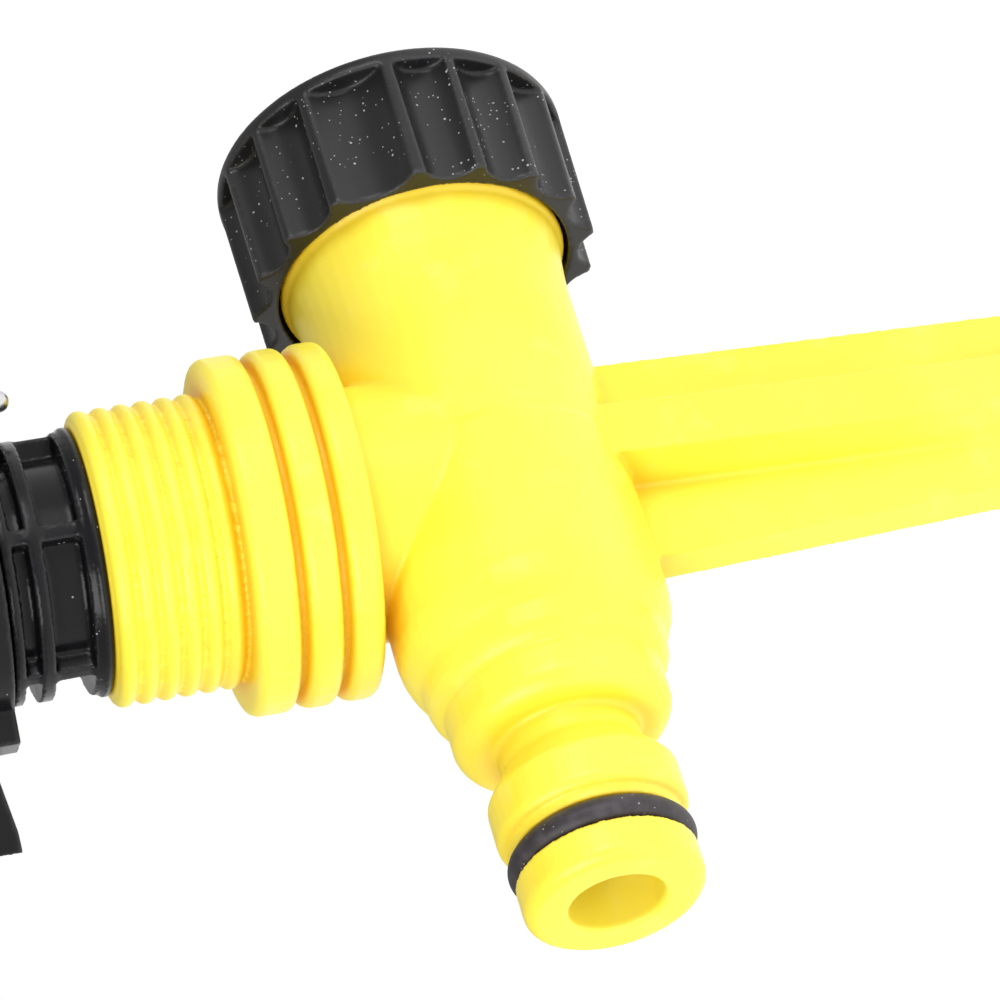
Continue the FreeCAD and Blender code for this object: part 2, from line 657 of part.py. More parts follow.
def flap_ears():
    """The two ears at the barrel's end that hold the flap's pin."""
    ears = []
    for inner in (FLAP_HINGE_HALF_WIDTH + EAR_GAP, -FLAP_HINGE_HALF_WIDTH - EAR_GAP - EAR_THICK):
        outer = inner + EAR_THICK
        root = BARREL_BORE_R + 0.6
        plate = block((FLAP_PIVOT - EAR_LENGTH, inner, root), (FLAP_PIVOT, outer, FLAP_OFFSET))
        nose = Part.makeCylinder(EAR_NOSE_R, EAR_THICK, Vector(FLAP_PIVOT, inner, FLAP_OFFSET), Y_AXIS)
        plate = plate.cut(block((FLAP_PIVOT - EAR_LENGTH, -9, 0), (FLAP_PIVOT + 1, 9, root + 0.4)))
        ears.append(plate.fuse(nose))
    return ears


def trip_bracket():
    """The lug on the hub that holds the trip lever's pin."""
    inner = TRIP_R - TRIP_LEVER_THICK / 2 - EAR_GAP
    low = GUARD_TOP_Z + 0.3
    return radial_block(TRIP_DEG, HUB_R - 3, inner, TRIP_BRACKET_HALF_WIDTH, low, TRIP_PIN_Z + 2.4, -0.6)


def head_body():
    """The black head: inlet tube, hub, tilted barrel and bridge."""
    barrel = on_barrel(rod_x(BARREL_R, BARREL_REAR, BARREL_FRONT))
    hub = turned_z([(0, HUB_BOTTOM_Z), (HUB_R, HUB_BOTTOM_Z), (HUB_R, BARREL_START_Z + 2),
                    (HUB_R - 3, BARREL_START_Z + 6), (0, BARREL_START_Z + 6)])
    solid = rod_z(INLET_R, INLET_END_Z, HUB_BOTTOM_Z + 1)
    lug = on_barrel(block((LUG_START, -4.0, -LUG_OUTER), (LUG_END, 4.0, -LUG_INNER)))
    web = on_barrel(block((LUG_START - 8, -1.6, -LUG_INNER - 1.5), (LUG_START + 1, 1.6, -BARREL_R + 1.5)))
    stay = on_barrel(block((LUG_START, -4.0, -LUG_INNER - 0.1), (BARREL_FRONT - 0.1, 4.0, -BARREL_R + 2)))
    pieces = [hub, barrel, rod_z(BOSS_R, BARREL_START_Z, BOSS_TOP_Z), bridge(), lug, web, stay, trip_bracket()]
    pieces.extend(on_barrel(ear) for ear in flap_ears())
    for piece in pieces:
        solid = solid.fuse(piece)
    inside_front = BARREL_FRONT - NOZZLE_SOCKET_DEPTH
    cuts = [
        rod_z(INLET_BORE_R, INLET_END_Z - 1, BARREL_START_Z),
        on_barrel(rod_x(BARREL_BORE_R, BARREL_REAR + 1, inside_front)),
        on_barrel(rod_x(NOZZLE_SOCKET_R + FIT_CLEARANCE, inside_front, BARREL_FRONT + 1)),
        on_barrel(rod_x(PLUG_SOCKET_R + FIT_CLEARANCE, BARREL_REAR - 9, BARREL_REAR + PLUG_LENGTH)),
        on_barrel(rod_x(PLUG_HEAD_R + POST_GAP, BARREL_REAR - PLUG_HEAD_THICK - 2, BARREL_REAR)),
        rod_z(PIN_R + FIT_CLEARANCE, BOSS_TOP_Z - 9, BEAM_TOP_Z + 1),
        cylinder(FLAP_PIN_R + FIT_CLEARANCE, along_barrel(FLAP_PIVOT, FLAP_OFFSET, -9),
                 along_barrel(FLAP_PIVOT, FLAP_OFFSET, 9)),
        cylinder(SCREW_R + RUNNING_CLEARANCE, along_barrel(SCREW_PLACE, -SCREW_HEAD),
                 along_barrel(SCREW_PLACE, -LUG_INNER + 3)),
        cylinder(TRIP_PIN_R + FIT_CLEARANCE, radial(TRIP_DEG, HUB_R - 0.6, TRIP_PIN_Z),
                 radial(TRIP_DEG, TRIP_R + 9, TRIP_PIN_Z)),
    ]
    for cut in cuts:
        solid = solid.cut(cut)
    return solid.removeSplitter()


def nozzle_tip():
    """The yellow nozzle pressed into the barrel's end."""
    inner = BARREL_FRONT - NOZZLE_SOCKET_DEPTH + 0.3
    tip = turned_x([
        (inner, NOZZLE_ORIFICE_R + 1.8), (inner, NOZZLE_SOCKET_R),
        (BARREL_FRONT + FIT_CLEARANCE, NOZZLE_SOCKET_R), (BARREL_FRONT + FIT_CLEARANCE, NOZZLE_FLANGE_R),
        (BARREL_FRONT + NOZZLE_FLANGE_THICK - 0.5, NOZZLE_FLANGE_R),
        (BARREL_FRONT + NOZZLE_FLANGE_THICK, NOZZLE_FLANGE_R - 0.5),
        (BARREL_FRONT + NOZZLE_FLANGE_THICK, NOZZLE_ORIFICE_R),
        (BARREL_FRONT - 1.5, NOZZLE_ORIFICE_R),
    ])
    return on_barrel(tip)


def rear_plug():
    """The plug that closes the barrel's rear."""
    plug = rod_x(PLUG_SOCKET_R, BARREL_REAR - FIT_CLEARANCE, BARREL_REAR + PLUG_LENGTH - 0.2)
    head = turned_x([(BARREL_REAR - PLUG_HEAD_THICK, 0), (BARREL_REAR - PLUG_HEAD_THICK, PLUG_HEAD_R - 0.6),
                     (BARREL_REAR - PLUG_HEAD_THICK + 0.6, PLUG_HEAD_R),
                     (BARREL_REAR - FIT_CLEARANCE, PLUG_HEAD_R), (BARREL_REAR - FIT_CLEARANCE, 0)])
    return on_barrel(plug.fuse(head).removeSplitter())


def stream_straightener():
    """The cross-shaped vane inside the barrel."""
    reach = BARREL_BORE_R - RUNNING_CLEARANCE
    limit = rod_x(reach, VANE_START, VANE_START + VANE_LENGTH)
    flat = block((VANE_START, -reach, -VANE_THICK / 2), (VANE_START + VANE_LENGTH, reach, VANE_THICK / 2))
    upright = block((VANE_START, -VANE_THICK / 2, -reach), (VANE_START + VANE_LENGTH, VANE_THICK / 2, reach))
    return on_barrel(flat.fuse(upright).common(limit).removeSplitter())


def deflector_flap():
    """The flap over the jet, with its hinge barrel."""
    hinge = Part.makeCylinder(FLAP_HINGE_R, 2 * FLAP_HINGE_HALF_WIDTH,
                              Vector(FLAP_PIVOT, -FLAP_HINGE_HALF_WIDTH, FLAP_OFFSET), Y_AXIS)
    neck = block((FLAP_PIVOT, -FLAP_HINGE_HALF_WIDTH, FLAP_OFFSET - FLAP_THICK / 2),
                 (FLAP_PIVOT + 4, FLAP_HINGE_HALF_WIDTH, FLAP_OFFSET + FLAP_THICK / 2))
    plate = block((FLAP_PIVOT + 2.8, -FLAP_HALF_WIDTH, FLAP_OFFSET - FLAP_THICK / 2),
                  (FLAP_PIVOT + FLAP_LENGTH, FLAP_HALF_WIDTH, FLAP_OFFSET + FLAP_THICK / 2))
    flap = hinge.fuse(neck).fuse(plate)
    bore = Part.makeCylinder(FLAP_PIN_R + RUNNING_CLEARANCE, 20, Vector(FLAP_PIVOT, -10, FLAP_OFFSET), Y_AXIS)
    return on_barrel(flap.cut(bore).removeSplitter())


def flap_pin():
    """The flap's hinge pin."""
    reach = FLAP_HINGE_HALF_WIDTH + EAR_GAP + EAR_THICK
    return cylinder(FLAP_PIN_R, along_barrel(FLAP_PIVOT, FLAP_OFFSET, -reach),
                    along_barrel(FLAP_PIVOT, FLAP_OFFSET, reach))


def diffuser_screw():
    """The screw that breaks up the jet, with its finger knob."""
    shank = cylinder(SCREW_R, along_barrel(SCREW_PLACE, -SCREW_HEAD), along_barrel(SCREW_PLACE, -SCREW_TIP))
    knob_top = -SCREW_HEAD
    knob = cylinder(SCREW_KNOB_R, along_barrel(SCREW_PLACE, knob_top - SCREW_KNOB_LENGTH),
                    along_barrel(SCREW_PLACE, knob_top + 0.1))
    for number in range(SCREW_KNOB_GRIPS):
        angle = 2 * math.pi * number / SCREW_KNOB_GRIPS
        x = SCREW_PLACE + (SCREW_KNOB_R + 0.3) * math.cos(angle)
        y = (SCREW_KNOB_R + 0.3) * math.sin(angle)
        grip = cylinder(SCREW_KNOB_GRIP_R, along_barrel(x, knob_top - 9, y), along_barrel(x, knob_top + 1, y))
        knob = knob.cut(grip)
    return shank.fuse(knob).removeSplitter()


def diffuser_oring():
    """The rubber ring under the knob that stops the screw from creeping."""
    low = along_barrel(SCREW_PLACE, -SCREW_HEAD + FIT_CLEARANCE + 0.1)
    high = along_barrel(SCREW_PLACE, -SCREW_HEAD + 1.5)
    hole = cylinder(SCREW_R + 0.03, along_barrel(SCREW_PLACE, -30), along_barrel(SCREW_PLACE, 0))
    return cylinder(SCREW_R + 1.0, low, high).cut(hole)


# ------------------------------------------------------------- the hammer arm

def bar(points, half_width, bottom, top):
    """A level bar of constant width along a bent line, with round corners."""
    solid = None
    for (x0, y0), (x1, y1) in zip(points, points[1:]):
        length = math.hypot(x1 - x0, y1 - y0)
        piece = block((0, -half_width, bottom), (length, half_width, top))
        piece = piece.fuse(rod_z(half_width, bottom, top)).fuse(rod_z(half_width, bottom, top, length))
        piece.rotate(Vector(0, 0, 0), Z_AXIS, math.degrees(math.atan2(y1 - y0, x1 - x0)))
        piece.translate(Vector(x0, y0, 0))
        solid = piece if solid is None else solid.fuse(piece)
    return solid


def spoon():
    """The curved scoop in front of the nozzle."""
    centre_x = ARM_FRONT_X - SPOON_R + SPOON_THICK
    outer = rod_z(SPOON_R, SPOON_BOTTOM_Z, ARM_TOP_Z - 1, centre_x)
    inner = rod_z(SPOON_R - SPOON_THICK, SPOON_BOTTOM_Z - 1, ARM_TOP_Z, centre_x)
    keep = block((ARM_FRONT_X - 3.4, -SPOON_R, SPOON_BOTTOM_Z), (ARM_FRONT_X + 5, SPOON_R, ARM_TOP_Z))
    return outer.cut(inner).common(keep)


def hammer_arm():
    """The arm that the jet throws aside and its spring brings back."""
    low = ARM_BOTTOM_Z + 1
    high = ARM_TOP_Z - 1
    arm = rod_z(ARM_HUB_R, ARM_BOTTOM_Z, ARM_TOP_Z)
    front = bar([(0, 0), (10, ARM_SIDE_Y), (ARM_FRONT_X - 6, ARM_SIDE_Y), (ARM_FRONT_X, 4)],
                ARM_BAR_HALF_WIDTH, low, high)
    rear = bar([(0, 0), (-9, WEIGHT_Y), (WEIGHT_X, WEIGHT_Y)], ARM_BAR_HALF_WIDTH, low, high)
    stop = block((POST_INNER_X + 0.5, POST_HALF_WIDTH + ARM_STOP_GAP, low),
                 (POST_INNER_X + POST_THICK - 0.5, ARM_SIDE_Y, high))
    cup = rod_z(WEIGHT_R, ARM_BOTTOM_Z, ARM_TOP_Z, WEIGHT_X, WEIGHT_Y)
    for piece in (front, rear, stop, cup, spoon()):
        arm = arm.fuse(piece)
    arm = arm.cut(rod_z(ARM_BUSH_R + FIT_CLEARANCE, ARM_BOTTOM_Z - 1, ARM_TOP_Z + 1))
    arm = arm.cut(rod_z(WEIGHT_BORE_R + FIT_CLEARANCE, ARM_BOTTOM_Z - 1, ARM_TOP_Z + 1, WEIGHT_X, WEIGHT_Y))
    return arm.removeSplitter()


def arm_bush():
    """The bush pressed into the arm's hub, which turns on the pin."""
    return pipe_z(ARM_BUSH_R, PIN_R + RUNNING_CLEARANCE, ARM_BOTTOM_Z - 0.4, ARM_TOP_Z + 0.2)


def arm_weight():
    """The steel slug that gives the arm its swing."""
    return rod_z(WEIGHT_BORE_R, ARM_BOTTOM_Z + 0.5, ARM_TOP_Z + 0.6, WEIGHT_X, WEIGHT_Y)


def arm_spring():
    """The coil between the arm's hub and the beam."""
    return coil(SPRING_R, SPRING_WIRE_R, ARM_TOP_Z + 0.4, BEAM_BOTTOM_Z - SPRING_GAP, SPRING_TURNS)


def pivot_pin():
    """The steel pin that the arm swings on."""
    return rod_z(PIN_R, BOSS_TOP_Z - 8.5, BEAM_TOP_Z + 3.0)


def spring_cap():
    """The knurled cap on the beam that holds the pin down."""
    bottom = BEAM_TOP_Z + FIT_CLEARANCE
    top = bottom + SPRING_CAP_HEIGHT
    cap = turned_z([(0, bottom), (SPRING_CAP_R, bottom), (SPRING_CAP_R, top - 1.0),
                    (SPRING_CAP_R - 1.0, top), (0, top)])
    for number in range(SPRING_CAP_GRIPS):
        spot = radial(number * 360.0 / SPRING_CAP_GRIPS, SPRING_CAP_R + SPRING_CAP_GRIP_R / 2, 0)
        cap = cap.cut(rod_z(SPRING_CAP_GRIP_R, bottom - 1, top + 1, spot.x, spot.y))
    return cap.cut(rod_z(PIN_R + FIT_CLEARANCE, bottom - 1, BEAM_TOP_Z + 3.2))


# ---------------------------------------------------------------- trip gear

def wire_cross(radius, reach):
    """A cylinder along the wire's hinge line, to the same reach on both sides."""
    return cylinder(radius, radial(TRIP_DEG, TRIP_R, TRIP_WIRE_HINGE_Z, -reach),
                    radial(TRIP_DEG, TRIP_R, TRIP_WIRE_HINGE_Z, reach))


def trip_lever():
    """The lever that the wire tips over, forked at its foot."""
    half = TRIP_LEVER_THICK / 2
    inner = TRIP_R - half
    outer = TRIP_R + half
    disc = cylinder(TRIP_LEVER_R, radial(TRIP_DEG, inner, TRIP_PIN_Z), radial(TRIP_DEG, outer, TRIP_PIN_Z))
    stem = radial_block(TRIP_DEG, inner, outer, TRIP_FORK_HALF_WIDTH, TRIP_WIRE_HINGE_Z - 1.6, TRIP_PIN_Z)
    foot = wire_cross(TRIP_FOOT_R, TRIP_FORK_HALF_WIDTH)
    finger = radial_block(TRIP_DEG, inner, outer, TRIP_FINGER_HALF_WIDTH, TRIP_PIN_Z, TRIP_FINGER_TOP_Z, -2.8)
    lever = disc.fuse(stem).fuse(foot).fuse(finger)
    slot = radial_block(TRIP_DEG, TRIP_R - 6, TRIP_R + 6, TRIP_FORK_GAP / 2,
                        TRIP_WIRE_HINGE_Z - 4, TRIP_WIRE_HINGE_Z + TRIP_EYE_R + 1.0)
    hole = cylinder(TRIP_PIN_R + RUNNING_CLEARANCE, radial(TRIP_DEG, TRIP_R - 5, TRIP_PIN_Z),
                    radial(TRIP_DEG, TRIP_R + 5, TRIP_PIN_Z))
    return lever.cut(slot).cut(hole).cut(wire_cross(WIRE_PIN_R + FIT_CLEARANCE, 6.0)).removeSplitter()


def trip_pin():
    """The pin from the hub that the lever turns on, with its round head."""
    out = TRIP_R + TRIP_LEVER_THICK / 2 + 0.3
    root = radial(TRIP_DEG, HUB_R - 0.4, TRIP_PIN_Z)
    shank = cylinder(TRIP_PIN_R, root, radial(TRIP_DEG, out + 0.1, TRIP_PIN_Z))
    head = cylinder(TRIP_PIN_HEAD_R, radial(TRIP_DEG, out, TRIP_PIN_Z), radial(TRIP_DEG, out + 1.0, TRIP_PIN_Z))
    return shank.fuse(head).removeSplitter()


def wire_pin():
    """The small cross pin in the lever's fork."""
    return wire_cross(WIRE_PIN_R, TRIP_FORK_HALF_WIDTH)


def trip_wire():
    """The steel wire that hangs down to the stop collars."""
    eye = wire_cross(TRIP_EYE_R, TRIP_FORK_GAP / 2 - 0.1)
    low = radial(TRIP_DEG, TRIP_R, TRIP_WIRE_END_Z + TRIP_WIRE_R)
    rod = cylinder(TRIP_WIRE_R, low, radial(TRIP_DEG, TRIP_R, TRIP_WIRE_HINGE_Z))
    ball = Part.makeSphere(TRIP_WIRE_R, low)
    return eye.fuse(rod).fuse(ball).cut(wire_cross(WIRE_PIN_R + RUNNING_CLEARANCE, 4.0)).removeSplitter()


NODES = {
    "spike_body": spike_body,
    "inlet_oring": inlet_oring,
    "end_cap": end_cap,
    "cap_washer": cap_washer,
    "bearing_sleeve": bearing_sleeve,
    "sleeve_oring": sleeve_oring,
    "sector_collar_lower": sector_collar_lower,
    "sector_collar_upper": sector_collar_upper,
    "thrust_washer": thrust_washer,
    "seal_washer": seal_washer,
    "snap_ring": snap_ring,
    "bearing_spring": bearing_spring,
    "sand_guard": sand_guard,
    "head_body": head_body,
    "nozzle_tip": nozzle_tip,
    "rear_plug": rear_plug,
    "stream_straightener": stream_straightener,
    "deflector_flap": deflector_flap,
    "flap_pin": flap_pin,
    "diffuser_screw": diffuser_screw,
    "diffuser_oring": diffuser_oring,
    "hammer_arm": hammer_arm,
    "arm_bush": arm_bush,
    "arm_weight": arm_weight,
    "arm_spring": arm_spring,
    "pivot_pin": pivot_pin,
    "spring_cap": spring_cap,
    "trip_lever": trip_lever,
    "trip_pin": trip_pin,
    "wire_pin": wire_pin,
    "trip_wire": trip_wire,
}

os.makedirs("parts", exist_ok=True)
for name, make in NODES.items():
    shape = make()
    print(f"{name}: {len(shape.Solids)} solid, {shape.Volume:.0f} mm3, valid {shape.isValid()}")
    shape.exportStep(f"parts/{name}.step")
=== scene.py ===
"""The looks of a garden impact sprinkler and the studio around it."""
import logging
import math
from dataclasses import dataclass
from enum import Enum
from typing import Iterable, Sequence, Union

import bmesh
import bpy
from mathutils import Euler, Matrix, Vector


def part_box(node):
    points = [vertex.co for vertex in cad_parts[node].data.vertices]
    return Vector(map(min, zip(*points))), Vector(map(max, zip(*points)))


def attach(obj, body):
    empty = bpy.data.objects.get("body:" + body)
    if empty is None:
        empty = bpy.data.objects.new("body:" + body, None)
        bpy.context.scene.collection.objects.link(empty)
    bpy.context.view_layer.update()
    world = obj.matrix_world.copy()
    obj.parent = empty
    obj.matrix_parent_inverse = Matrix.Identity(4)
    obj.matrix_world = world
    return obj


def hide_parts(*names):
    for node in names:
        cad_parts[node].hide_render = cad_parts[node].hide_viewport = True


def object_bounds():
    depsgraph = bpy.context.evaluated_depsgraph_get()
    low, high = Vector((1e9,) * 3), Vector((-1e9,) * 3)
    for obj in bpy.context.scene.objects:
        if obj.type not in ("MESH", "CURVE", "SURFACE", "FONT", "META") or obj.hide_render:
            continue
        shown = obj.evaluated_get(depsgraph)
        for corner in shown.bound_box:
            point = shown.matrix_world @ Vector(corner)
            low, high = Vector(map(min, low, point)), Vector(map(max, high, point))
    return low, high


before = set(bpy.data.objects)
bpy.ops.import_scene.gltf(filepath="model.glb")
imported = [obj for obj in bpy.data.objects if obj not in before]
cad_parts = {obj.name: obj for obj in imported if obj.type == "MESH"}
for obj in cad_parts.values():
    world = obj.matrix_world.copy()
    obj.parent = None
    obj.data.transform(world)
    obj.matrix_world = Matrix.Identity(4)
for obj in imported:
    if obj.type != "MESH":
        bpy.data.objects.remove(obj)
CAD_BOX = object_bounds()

log = logging.getLogger("sprinkler")
MM = 0.001
# how near an edge the surface counts as an edge, and how far its normal has to turn there
EDGE_REACH = 0.6 * MM
BEND_RANGE = (0.002, 0.04)
# a skin's grid stands askew to the part's own axes, so that no long edge runs along it in steps
GRID_TURN = Euler((0.7, 0.5, 0.4)).to_matrix().to_4x4()
WHITE = (1.0, 1.0, 1.0, 1.0)
Triple = tuple[float, float, float]
Colour = Triple
Setting = Union[str, int, float, bool, tuple]


class Slot(Enum):
    """The record's material slots."""

    YELLOW = "yellow_moulding"
    BLACK = "black_moulding"
    RUBBER = "black_rubber"
    NYLON = "white_nylon"
    STEEL = "bright_steel"


class Finish(Enum):
    """The finishes, each with the material slot that it belongs to."""

    LEMON = Slot.YELLOW
    CHARCOAL = Slot.BLACK
    GLOSSY_BLACK = "glossy black", Slot.BLACK
    RUBBER = Slot.RUBBER
    NYLON = Slot.NYLON
    STEEL = Slot.STEEL

    @property
    def slot(self) -> Slot:
        """The record's slot of this finish."""
        return self.value[1] if isinstance(self.value, tuple) else self.value


# ------------------------------------------------------------------ shader expressions

class Value:
    """A number socket of a shader graph, or a plain number, that can be used in expressions."""

    def __init__(self, graph: "Graph", socket: bpy.types.NodeSocket) -> None:
        """Wrap a socket.

        Args:
            graph: The graph that the socket belongs to.
            socket: The output socket that carries the number.
        """
        self.graph = graph
        self.socket = socket

    def _math(self, operation: str, *others: Union["Value", float]) -> "Value":
        """One Math node on this value and the others, in that order."""
        return self.graph.maths(operation, self, *others)

    def __add__(self, other: Union["Value", float]) -> "Value":
        """This value plus another."""
        return self._math("ADD", other)

    def __radd__(self, other: float) -> "Value":
        """A number plus this value."""
        return self.graph.maths("ADD", other, self)

    def __sub__(self, other: Union["Value", float]) -> "Value":
        """This value minus another."""
        return self._math("SUBTRACT", other)

    def __rsub__(self, other: float) -> "Value":
        """A number minus this value."""
        return self.graph.maths("SUBTRACT", other, self)

    def __mul__(self, other: Union["Value", float]) -> "Value":
        """This value times another."""
        return self._math("MULTIPLY", other)

    def __rmul__(self, other: float) -> "Value":
        """A number times this value."""
        return self.graph.maths("MULTIPLY", other, self)

    def __lt__(self, limit: Union["Value", float]) -> "Value":
        """One where this value is under a limit, else zero."""
        return self._math("LESS_THAN", limit)

    def __gt__(self, limit: Union["Value", float]) -> "Value":
        """One where this value is over a limit, else zero."""
        return self._math("GREATER_THAN", limit)

    def step(self, low: float, high: float) -> "Value":
        """A smooth rise from zero at low to one at high."""
        return self.graph.maths("SMOOTHSTEP", self, low, high)


class Graph:
    """The node tree of one material, built node by node."""

    def __init__(self, name: str) -> None:
        """Start an empty material.

        Args:
            name: The material's name.
        """
        self.material = bpy.data.materials.new(name)
        self.material.use_nodes = True
        self.tree = self.material.node_tree
        self.tree.nodes.clear()

    def node(self, kind: str, settings: dict[str, Setting],
             inputs: dict[Union[str, int], object]) -> bpy.types.Node:
        """Add one node.

        Args:
            kind: The node's type.
            settings: Its properties, which are set before its sockets.
            inputs: What each input socket is given: a Value, an output socket or a constant.

        Returns:
            The new node.
        """
        made = self.tree.nodes.new(kind)
        for key, setting in settings.items():
            setattr(made, key, setting)
        for key, given in inputs.items():
            socket = made.inputs[key]
            if isinstance(given, Value):
                self.tree.links.new(given.socket, socket)
            elif isinstance(given, bpy.types.NodeSocket):
                self.tree.links.new(given, socket)
            else:
                socket.default_value = given
        return made

    def value(self, kind: str, settings: dict[str, Setting], inputs: dict[Union[str, int], object],
              output: Union[str, int] = 0) -> Value:
        """Add one node and wrap one of its outputs as a number."""
        return Value(self, self.node(kind, settings, inputs).outputs[output])

    def maths(self, operation: str, *terms: Union[Value, float]) -> Value:
        """One Math node, or a smooth step."""
        if operation == "SMOOTHSTEP":
            value, low, high = terms
            return self.value("ShaderNodeMapRange", {"interpolation_type": "SMOOTHSTEP"},
                              {0: value, 1: low, 2: high})
        return self.value("ShaderNodeMath", {"operation": operation}, dict(enumerate(terms)))

    def place(self, stretch: Sequence[float] = (1.0, 1.0, 1.0)) -> bpy.types.NodeSocket:
        """The point on the piece in millimetres, stretched along each axis."""
        here = self.node("ShaderNodeTexCoord", {}, {}).outputs["Object"]
        scale = tuple(s / MM for s in stretch)
        return self.node("ShaderNodeVectorMath", {"operation": "MULTIPLY"}, {0: here, 1: scale}).outputs[0]

    def noise(self, where: bpy.types.NodeSocket, scale: float, detail: float = 2.0,
              rough: float = 0.5) -> Value:
        """Smooth noise around one half."""
        return self.value("ShaderNodeTexNoise", {}, {"Vector": where, "Scale": scale, "Detail": detail,
                                                     "Roughness": rough})

    def specks(self, where: bpy.types.NodeSocket, scale: float, radius: float, share: float) -> Value:
        """Round specks of dust or grit.

        Args:
            where: The point that the specks are placed by.
            scale: Cells per millimetre.
            radius: A speck's radius, as a share of a cell.
            share: The share of the cells that hold a speck.

        Returns:
            One on a speck and zero elsewhere.
        """
        cells = self.node("ShaderNodeTexVoronoi", {}, {"Vector": where, "Scale": scale})
        pick = self.node("ShaderNodeSeparateColor", {}, {0: cells.outputs["Color"]})
        chosen = Value(self, pick.outputs[0]) < share
        size = Value(self, pick.outputs[1]) * radius + radius * 0.4
        inside = (Value(self, cells.outputs["Distance"]) - size) < 0.0
        return chosen * inside

    def mix(self, factor: Union[Value, float], first: object, second: object) -> bpy.types.NodeSocket:
        """A colour between two colours."""
        pair = [(*c, 1.0) if isinstance(c, tuple) else c for c in (first, second)]
        node = self.node("ShaderNodeMix", {"data_type": "RGBA"}, {0: factor, 6: pair[0], 7: pair[1]})
        return node.outputs[2]

    def shade(self, distance: float) -> Value:
        """How open the surface is: one in the open, less in grooves and corners."""
        return self.value("ShaderNodeAmbientOcclusion", {"samples": 6}, {"Distance": distance}, "AO")

    def edges(self, low: float, high: float) -> Value:
        """One on sharp outer edges, zero on flats and in corners."""
        geometry = self.node("ShaderNodeNewGeometry", {}, {})
        lie = self.node("ShaderNodeVectorMath", {"operation": "DOT_PRODUCT"},
                        {0: self.rounded(EDGE_REACH), 1: geometry.outputs["Normal"]})
        bent = (1.0 - Value(self, lie.outputs["Value"])).step(*BEND_RANGE)
        return Value(self, geometry.outputs["Pointiness"]).step(low, high) * bent

    def rounded(self, radius: float) -> bpy.types.NodeSocket:
        """The surface's normal with its edges rounded off."""
        return self.node("ShaderNodeBevel", {"samples": 4}, {"Radius": radius}).outputs[0]

    def bump(self, height: Value, strength: float, distance: float,
             normal: object = None) -> bpy.types.NodeSocket:
        """A bumped normal from a height."""
        inputs = {"Height": height, "Strength": strength, "Distance": distance}
        if normal is not None:
            inputs["Normal"] = normal
        return self.node("ShaderNodeBump", {}, inputs).outputs[0]

    def finish(self, colour: object, roughness: object, normal: object,
               fixed: dict[str, object]) -> bpy.types.Material:
        """Close the graph with the main shader.

        Args:
            colour: The base colour's socket or constant.
            roughness: The roughness, as a Value or a number.
            normal: The normal's socket.
            fixed: Values that are the same all over, by socket name.

        Returns:
            The finished material.
        """
        inputs = {"Base Color": colour, "Roughness": roughness, "Normal": normal, **fixed}
        shader = self.node("ShaderNodeBsdfPrincipled", {}, inputs)
        self.node("ShaderNodeOutputMaterial", {}, {0: shader.outputs[0]})
        return self.material


# ----------------------------------------------------------------------------- finishes

@dataclass(frozen=True)
class YellowMoulding:
    """Bright lemon plastic, slightly see-through, with painted shade that makes it warmer and more orange
    in its grooves and corners.
    """

    name: str = "lemon_plastic"
    lit: Colour = (0.97, 0.82, 0.075)
    deep: Colour = (0.96, 0.77, 0.05)
    # groove colour: painted shade, the orange that grooves and corners are tinted with
    groove_shade_tint: Colour = (0.91, 0.58, 0.016)
    pale: Colour = (0.96, 0.84, 0.2)
    dust: Colour = (0.75, 0.62, 0.2)
    gloss: float = 0.36
    edge_round: float = 0.15 * MM
    corner_reach: float = 5.0 * MM
    groove_reach: float = 2.2 * MM

    def material(self) -> bpy.types.Material:
        """Build the material."""
        graph = Graph(self.name)
        where = graph.place()
        cloud = graph.noise(where, 0.06, 3.0).step(0.35, 0.65)
        bloom = graph.noise(where, 0.16, 5.0, 0.6).step(0.55, 0.72)
        body = graph.mix(bloom * 0.3, graph.mix(cloud, self.lit, self.deep), self.pale)
        # painted shade: ambient occlusion mixes the orange groove colour into corners and grooves
        corner_shade_mask = 1.0 - graph.shade(self.corner_reach).step(0.15, 0.85)
        groove_shade_mask = 1.0 - graph.shade(self.groove_reach).step(0.5, 1.0)
        shaded_body = graph.mix(corner_shade_mask * 0.3 + groove_shade_mask * 0.65, body, self.groove_shade_tint)
        dust = graph.specks(where, 0.9, 0.09, 0.05)
        colour = graph.mix(dust * 0.35, shaded_body, self.dust)
        flow = graph.noise(graph.place((0.25, 1.0, 0.25)), 0.35, 4.0)
        peel = graph.noise(where, 2.2, 2.0)
        roughness = flow * 0.2 + (self.gloss - 0.1)
        height = flow * 0.6 + peel * 0.25 + dust * 0.5
        normal = graph.bump(height, 0.12, 0.12 * MM, graph.rounded(self.edge_round))
        return graph.finish(colour, roughness, normal, {
            "IOR": 1.46, "Subsurface Weight": 0.15, "Subsurface Radius": (1.0, 0.7, 0.12),
            "Subsurface Scale": 1.2 * MM})


